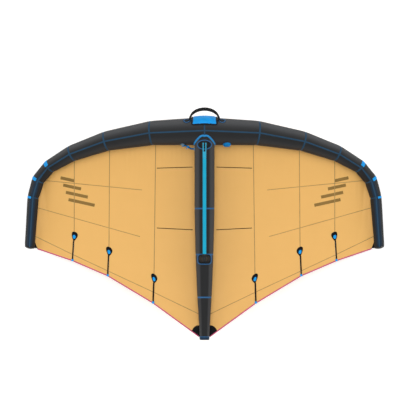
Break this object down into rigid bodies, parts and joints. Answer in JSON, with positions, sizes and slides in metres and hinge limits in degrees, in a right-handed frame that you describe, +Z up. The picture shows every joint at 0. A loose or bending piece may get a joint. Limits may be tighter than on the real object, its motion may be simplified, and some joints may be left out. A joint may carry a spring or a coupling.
{
  "type": "wingfoil wing",
  "caption": "Inflatable handheld foiling wing: curved air tube, centre strut, amber canopy, rigid boom, front handle, inflation valve and hose.",
  "frame": {"origin": "middle of the bounding box's base, on the floor the wing's tips stand on", "axes": "+X along the span to the right tip, +Y forward past the leading edge, +Z up from the floor, the rider's side"},
  "size_m": [3.0316, 1.9487, 0.6501],
  "materials": {
    "airframe_cloth": "ripstop polyester sailcloth, dark grey",
    "bladder_film": "clear thermoplastic film",
    "bright_blue_pad": "foam-backed woven cover",
    "handle_cover": "woven sleeve over foam",
    "reinforcement_cloth": "heavy coated cloth",
    "canopy_cloth": "ripstop canopy cloth, amber",
    "hem_tape": "folded edge tape, pink",
    "batten_glassfibre": "pultruded glassfibre",
    "seam_tape": "sewn seam tape, blue",
    "cap_webbing": "webbing cup, dark blue",
    "foot_nylon": "moulded glass-filled nylon",
    "fork_nylon": "moulded nylon, cyan",
    "pin_steel": "stainless pin",
    "boom_aluminium": "drawn tube",
    "grip_foam": "closed-cell foam sleeve, cyan",
    "valve_nylon": "moulded nylon, blue",
    "fitting_nylon": "moulded nylon, grey blue",
    "hose_rubber": "soft hose, blue"
  },
  "bodies": {
    "wing": {"leading_edge": "airframe_cloth", "tip_cap_left": "airframe_cloth", "tip_cap_right": "airframe_cloth", "strut": "airframe_cloth", "leading_edge_bladder": "bladder_film", "strut_bladder": "bladder_film", "handle_pad": "bright_blue_pad", "front_handle_anchor_left": "reinforcement_cloth", "front_handle_anchor_right": "reinforcement_cloth", "batten_pocket_left_1": "reinforcement_cloth", "batten_pocket_left_2": "reinforcement_cloth", "batten_pocket_left_3": "reinforcement_cloth", "batten_pocket_right_1": "reinforcement_cloth", "batten_pocket_right_2": "reinforcement_cloth", "batten_pocket_right_3": "reinforcement_cloth", "batten_patch_left_1": "reinforcement_cloth", "batten_patch_left_2": "reinforcement_cloth", "batten_patch_left_3": "reinforcement_cloth", "batten_patch_right_1": "reinforcement_cloth", "batten_patch_right_2": "reinforcement_cloth", "batten_patch_right_3": "reinforcement_cloth", "tail_patch_left": "reinforcement_cloth", "tail_patch_right": "reinforcement_cloth", "front_foot_patch": "reinforcement_cloth", "rear_foot_patch": "reinforcement_cloth", "canopy_panel_left_1": "canopy_cloth", "canopy_panel_left_2": "canopy_cloth", "canopy_panel_left_3": "canopy_cloth", "canopy_panel_left_4": "canopy_cloth", "canopy_panel_right_1": "canopy_cloth", "canopy_panel_right_2": "canopy_cloth", "canopy_panel_right_3": "canopy_cloth", "canopy_panel_right_4": "canopy_cloth", "trailing_edge_hem_left": "hem_tape", "trailing_edge_hem_right": "hem_tape", "batten_left_1": "batten_glassfibre", "batten_left_2": "batten_glassfibre", "batten_left_3": "batten_glassfibre", "batten_right_1": "batten_glassfibre", "batten_right_2": "batten_glassfibre", "batten_right_3": "batten_glassfibre", "strut_saddle_tape": "seam_tape", "strut_end_cap": "cap_webbing", "front_foot": "foot_nylon", "rear_foot": "foot_nylon", "boom_pin": "pin_steel", "valve_base": "valve_nylon", "hose_clip": "valve_nylon", "leading_edge_hose_fitting": "fitting_nylon", "strut_hose_fitting": "fitting_nylon", "inflation_hose": "hose_rubber"},
    "boom": {"boom_fork": "fork_nylon", "boom_tube": "boom_aluminium", "boom_grip": "grip_foam", "boom_tail": "foot_nylon"},
    "release_button": {"release_button": "valve_nylon"},
    "front_handle": {"front_handle": "handle_cover"},
    "valve_cap": {"valve_cap": "valve_nylon"},
    "valve_core": {"valve_core": "fitting_nylon"},
    "hose_clip_lever": {"hose_clip_lever": "valve_nylon"}
  },
  "joints": [
    {"name": "boom_swing", "type": "hinge", "parent": "wing", "child": "boom", "pos_m": [0, 0.66478, 0.6364], "axis": [-1, 0, 0], "range_deg": [0, 70]},
    {"name": "release_button_press", "type": "slide", "parent": "boom", "child": "release_button", "axis": [0, 0.0563, -0.9984], "range_m": [0, 0.003], "stiffness_N_per_m": 600},
    {"name": "front_handle_swing", "type": "hinge", "parent": "wing", "child": "front_handle", "pos_m": [0, 0.87978, 0.50527], "axis": [1, 0, 0], "range_deg": [-45, 75], "stiffness_Nm_per_rad": 2.5},
    {"name": "valve_cap_swing", "type": "hinge", "parent": "wing", "child": "valve_cap", "pos_m": [0.19267, 0.67176, 0.49831], "axis": [-0.9897, 0.0601, 0.1301], "range_deg": [0, 150]},
    {"name": "valve_core_press", "type": "slide", "parent": "wing", "child": "valve_core", "axis": [0.0176, 0.9518, -0.3061], "range_m": [0, 0.004], "stiffness_N_per_m": 400},
    {"name": "hose_clip_swing", "type": "hinge", "parent": "wing", "child": "hose_clip_lever", "pos_m": [-0.13784, 0.64812, 0.48059], "axis": [-0.773, 0.6205, -0.1318], "range_deg": [0, 90]}
  ]
}
